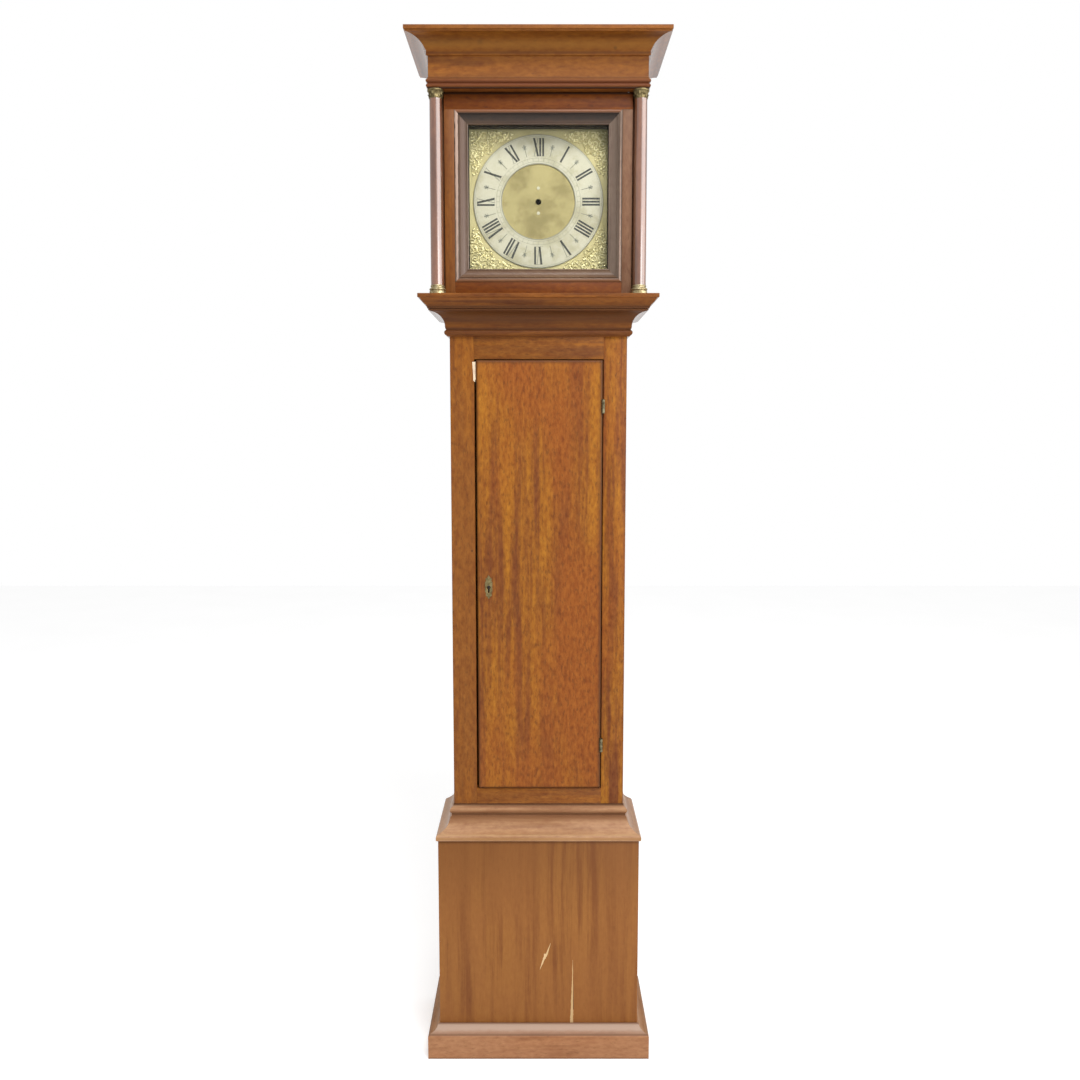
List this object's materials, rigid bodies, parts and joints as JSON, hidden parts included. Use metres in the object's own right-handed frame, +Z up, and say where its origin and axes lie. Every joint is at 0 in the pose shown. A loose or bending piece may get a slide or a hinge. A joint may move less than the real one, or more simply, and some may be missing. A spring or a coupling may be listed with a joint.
{
  "type": "longcase clock",
  "caption": "Oak longcase clock with flat-topped sliding hood, glazed hood door, square brass dial, long trunk door, and a rope-driven weight movement with pendulum",
  "frame": {"origin": "middle of the floor rectangle under the whole clock", "axes": "+Z up, front towards -Y, +X to the viewer's right when facing the front"},
  "size_m": [0.478, 0.241, 1.96],
  "materials": {
    "pine": "old stained pine, satin",
    "oak": "waxed oak, satin",
    "hood_wood": "darker waxed oak, satin",
    "dark_wood": "dark stained, matt",
    "hinge_steel": "dull worn steel",
    "cabinet_brass": "polished, slightly tarnished",
    "dial_brass": "matted and polished brass",
    "silvered_brass": "silvered ring with black filled numerals",
    "movement_brass": "aged clock brass",
    "steel": "forged and filed steel",
    "bell_metal": "cast bell metal",
    "weight_iron": "cast, matt",
    "glass": "clear old glass",
    "rope": "twisted hemp"
  },
  "bodies": {
    "case": {"backboard": "pine", "trunk_sides": "oak", "trunk_front_frame": "oak", "plinth_front_panel": "pine", "plinth_sides": "oak", "plinth_inner_boards": "pine", "base_skirting": "oak", "plinth_cap_moulding": "oak", "throat_moulding": "oak", "hinge_leaves_on_frame": "hinge_steel", "seatboard": "pine", "front_plate": "movement_brass", "back_plate": "movement_brass", "pillars_and_studs": "movement_brass", "back_cock": "movement_brass", "bell": "bell_metal", "bell_stand": "steel", "dial_plate": "dial_brass", "chapter_ring": "silvered_brass", "dial_spandrels": "dial_brass", "dial_feet_and_rivets": "dial_brass", "rope_over_sprockets": "rope", "rope_inner_falls": "rope", "rope_outer_falls": "rope"},
    "hood": {"hood_sides": "hood_wood", "hood_top_boards": "hood_wood", "cornice": "hood_wood", "hood_base_moulding": "hood_wood", "dial_mask": "dark_wood", "hood_columns": "hood_wood", "column_brasses": "cabinet_brass"},
    "hood_door": {"hood_door_stiles": "hood_wood", "hood_door_rails": "hood_wood", "hood_door_moulding": "hood_wood", "hood_door_glass": "glass", "hood_door_pivots": "steel"},
    "trunk_door": {"trunk_door_panel": "oak", "hinge_leaves_on_door": "hinge_steel", "door_lock_case": "steel", "escutcheon": "cabinet_brass"},
    "bolt": {"lock_bolt": "steel"},
    "going_great": {"going_great_wheel": "movement_brass"},
    "second": {"second_wheel": "movement_brass"},
    "escape": {"escape_wheel": "movement_brass"},
    "hour": {"hour_wheel": "movement_brass"},
    "anchor": {"anchor_and_crutch": "steel"},
    "pendulum": {"pendulum_rod": "steel", "pendulum_bob": "movement_brass"},
    "strike_great": {"strike_great_wheel": "movement_brass"},
    "hoop": {"hoop_wheel": "movement_brass"},
    "warning": {"warning_wheel": "movement_brass"},
    "fly_body": {"fly": "movement_brass"},
    "count": {"count_wheel": "movement_brass"},
    "hammer": {"bell_hammer": "steel"},
    "weight": {"driving_weight": "weight_iron", "weight_stirrup": "steel", "rope_under_pulley": "rope"},
    "pulley": {"weight_pulley": "movement_brass"},
    "counter": {"counterweight": "weight_iron", "rope_through_counterweight": "rope"}
  },
  "joints": [
    {"name": "hood_slide", "type": "slide", "parent": "case", "child": "hood", "axis": [0, -1, 0], "range_m": [0, 0.26]},
    {"name": "hood_door_swing", "type": "hinge", "parent": "hood", "child": "hood_door", "pos_m": [0.1655, -0.0615, 1.68], "axis": [0, 0, 1], "range_deg": [0, 100]},
    {"name": "trunk_door_swing", "type": "hinge", "parent": "case", "child": "trunk_door", "pos_m": [0.12325, -0.0557, 0.96], "axis": [0, 0, 1], "range_deg": [0, 110]},
    {"name": "lock_bolt_slide", "type": "slide", "parent": "trunk_door", "child": "bolt", "axis": [-1, 0, 0], "range_m": [0, 0.009]},
    {"name": "escape_spin", "type": "hinge", "parent": "case", "child": "escape", "pos_m": [0, 0.04, 1.70802], "axis": [0, 1, 0], "continuous": true},
    {"name": "second_spin", "type": "hinge", "parent": "case", "child": "second", "pos_m": [0.02325, 0.04, 1.68813], "axis": [0, 1, 0], "continuous": true},
    {"name": "going_great_spin", "type": "hinge", "parent": "case", "child": "going_great", "pos_m": [0.042, 0.04, 1.6574], "axis": [0, 1, 0], "continuous": true},
    {"name": "hour_spin", "type": "hinge", "parent": "case", "child": "hour", "pos_m": [0, 0.04, 1.678], "axis": [0, 1, 0], "continuous": true},
    {"name": "pendulum_swing", "type": "hinge", "parent": "case", "child": "pendulum", "pos_m": [0, 0.04, 1.7349], "axis": [0, 1, 0], "range_deg": [-2.5, 2.5]},
    {"name": "anchor_swing", "type": "hinge", "parent": "case", "child": "anchor", "pos_m": [0, 0.04, 1.7349], "axis": [0, 1, 0], "range_deg": [-2.5, 2.5]},
    {"name": "fly_spin", "type": "hinge", "parent": "case", "child": "fly_body", "pos_m": [-0.034, 0.04, 1.72064], "axis": [0, 1, 0], "continuous": true},
    {"name": "warning_spin", "type": "hinge", "parent": "case", "child": "warning", "pos_m": [-0.052, 0.04, 1.71288], "axis": [0, 1, 0], "continuous": true},
    {"name": "hoop_spin", "type": "hinge", "parent": "case", "child": "hoop", "pos_m": [-0.036, 0.04, 1.6929], "axis": [0, 1, 0], "continuous": true},
    {"name": "strike_great_spin", "type": "hinge", "parent": "case", "child": "strike_great", "pos_m": [-0.042, 0.04, 1.6574], "axis": [0, 1, 0], "continuous": true},
    {"name": "count_spin", "type": "hinge", "parent": "case", "child": "count", "pos_m": [-0.048, 0.04, 1.69127], "axis": [0, 1, 0], "continuous": true},
    {"name": "hammer_lift", "type": "hinge", "parent": "case", "child": "hammer", "pos_m": [-0.066, 0.04, 1.69], "axis": [0, -1, 0], "range_deg": [0, 8], "stiffness_Nm_per_rad": 0.05, "springref_deg": -17.19},
    {"name": "weight_slide", "type": "slide", "parent": "case", "child": "weight", "axis": [0, 0, 1], "range_m": [-0.4, 0.4], "deforming": ["rope_inner_falls"]},
    {"name": "pulley_spin", "type": "hinge", "parent": "weight", "child": "pulley", "pos_m": [0, 0.025, 0.95], "axis": [0, 1, 0], "range_deg": [-960, 960]},
    {"name": "counterweight_slide", "type": "slide", "parent": "case", "child": "counter", "axis": [0, 0, 1], "range_m": [-0.4, 0.4], "deforming": ["rope_outer_falls"]}
  ],
  "couplings": [
    {"joint": "second_spin", "follows": "escape_spin", "ratio": -0.13333},
    {"joint": "going_great_spin", "follows": "escape_spin", "ratio": 0.016667},
    {"joint": "hour_spin", "follows": "escape_spin", "ratio": -0.0013889},
    {"joint": "anchor_swing", "follows": "pendulum_swing", "ratio": 1},
    {"joint": "warning_spin", "follows": "fly_spin", "ratio": -0.16667},
    {"joint": "hoop_spin", "follows": "fly_spin", "ratio": 0.02381},
    {"joint": "strike_great_spin", "follows": "fly_spin", "ratio": -0.0029762},
    {"joint": "count_spin", "follows": "fly_spin", "ratio": 0.00030525},
    {"joint": "counterweight_slide", "follows": "weight_slide", "ratio": -1},
    {"joint": "pulley_spin", "follows": "weight_slide", "rad_per_m": 41.667}
  ]
}
